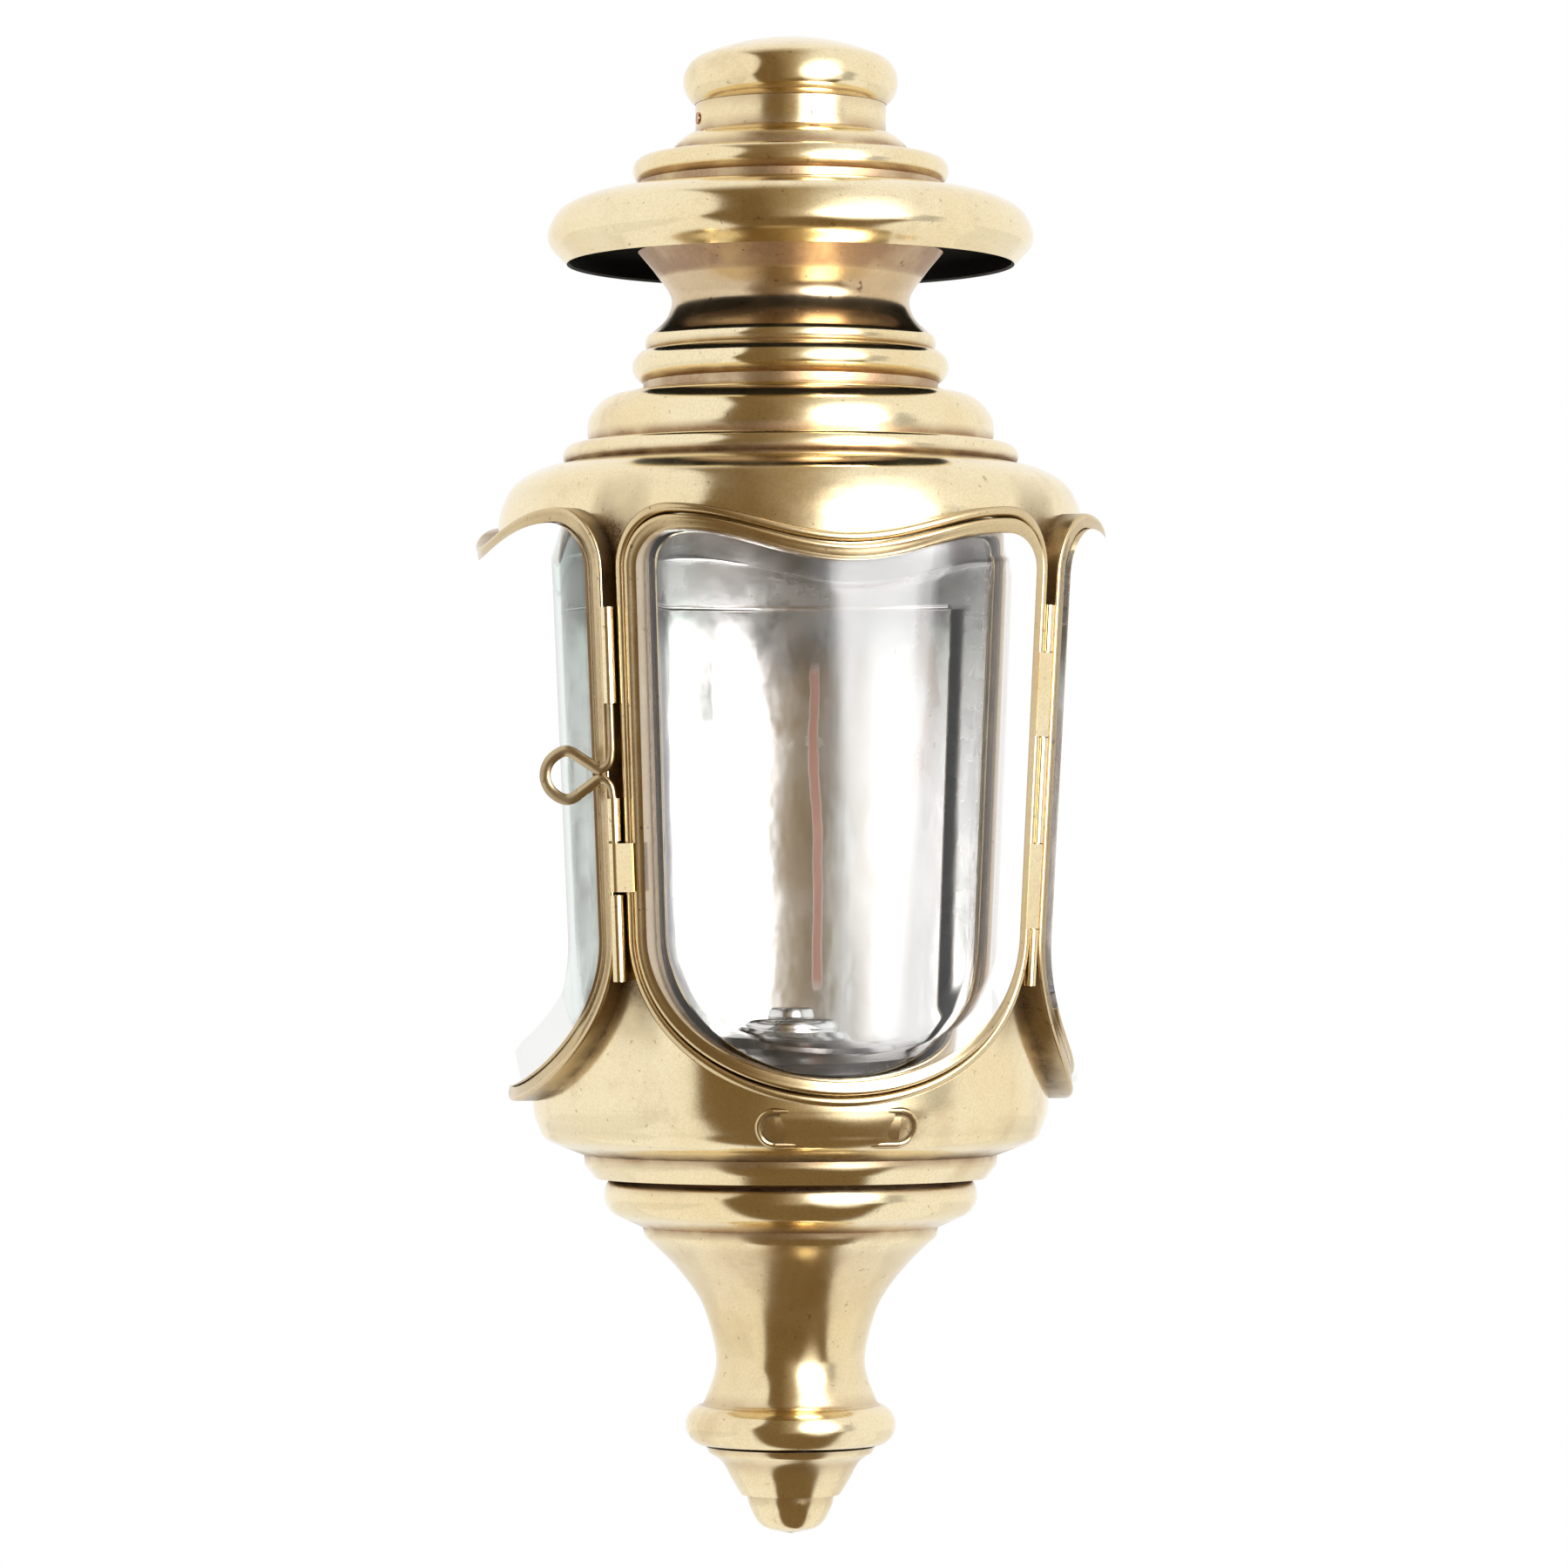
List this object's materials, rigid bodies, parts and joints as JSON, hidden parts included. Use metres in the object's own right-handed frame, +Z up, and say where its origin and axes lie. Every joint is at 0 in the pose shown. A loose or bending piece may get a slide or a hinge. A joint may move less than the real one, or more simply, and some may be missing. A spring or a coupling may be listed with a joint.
{
  "type": "wall lantern",
  "caption": "Tapered round brass wall lantern with a vented chimney, bevelled curved windows, hinged glazed door, sliding wire latch and draw-out spring candle unit.",
  "frame": {"origin": "centre of the wall plate's wall face, at the middle of the lantern's height", "axes": "+Z up along the lantern, +Y into the wall, door facing -Y, hinge on the +X side"},
  "size_m": [0.198, 0.1988, 0.4602],
  "materials": {
    "brass": "aged polished spun brass, brown patina in the recesses",
    "silvered": "worn silver plate on copper and brass sheet",
    "glass": "clear curved glass with bevelled edges",
    "spring_steel": "bare spring wire"
  },
  "bodies": {
    "lamp": {"wall_plate": "brass", "upper_saddle": "brass", "lower_saddle": "brass", "saddle_rivets": "brass", "body_shell": "brass", "shoulder": "brass", "shoulder_bead": "brass", "crown_ring": "brass", "neck_base": "brass", "chimney_neck": "brass", "inner_chimney": "brass", "brim": "brass", "bell_shoulder": "brass", "vent_collar": "brass", "top_cap": "brass", "collar_screws": "brass", "lower_bowl": "brass", "step_ring": "brass", "tail_collar": "brass", "tail_trumpet": "brass", "tail_end_ring": "brass", "socket_tube": "brass", "badge_plate": "brass", "left_window_frame": "brass", "right_window_frame": "brass", "left_glass": "glass", "right_glass": "glass", "left_glass_retainer": "brass", "right_glass_retainer": "brass", "door_surround": "brass", "reflector_back": "silvered", "reflector_crown": "silvered", "floor_plate": "silvered", "hinge_body_knuckles": "brass", "hinge_pin": "brass", "latch_upper_tube": "brass", "latch_guide": "brass", "latch_keeper": "brass"},
    "door": {"door_frame": "brass", "door_glass": "glass", "door_glass_retainer": "brass", "hinge_door_knuckles": "brass", "latch_door_knuckle": "brass"},
    "latch": {"latch_wire": "brass"},
    "candle_unit": {"finial_bell": "brass", "finial_tip": "brass", "candle_tube": "brass", "candle_nozzle": "brass", "candle_spring": "spring_steel"},
    "follower": {"spring_follower": "brass"}
  },
  "joints": [
    {"name": "door_hinge", "type": "hinge", "parent": "lamp", "child": "door", "pos_m": [0.06417, -0.16417, 0], "axis": [0.0428, -0.0428, 0.9982], "range_deg": [0, 95]},
    {"name": "latch_slide", "type": "slide", "parent": "lamp", "child": "latch", "axis": [-0.0428, -0.0428, 0.9982], "range_m": [0, 0.0115]},
    {"name": "candle_draw", "type": "slide", "parent": "lamp", "child": "candle_unit", "axis": [0, 0, -1], "range_m": [0, 0.11]},
    {"name": "follower_slide", "type": "slide", "parent": "candle_unit", "child": "follower", "axis": [0, 0, -1], "range_m": [0, 0.09], "stiffness_N_per_m": 60, "springref_m": -0.03, "deforming": ["candle_spring"]}
  ]
}
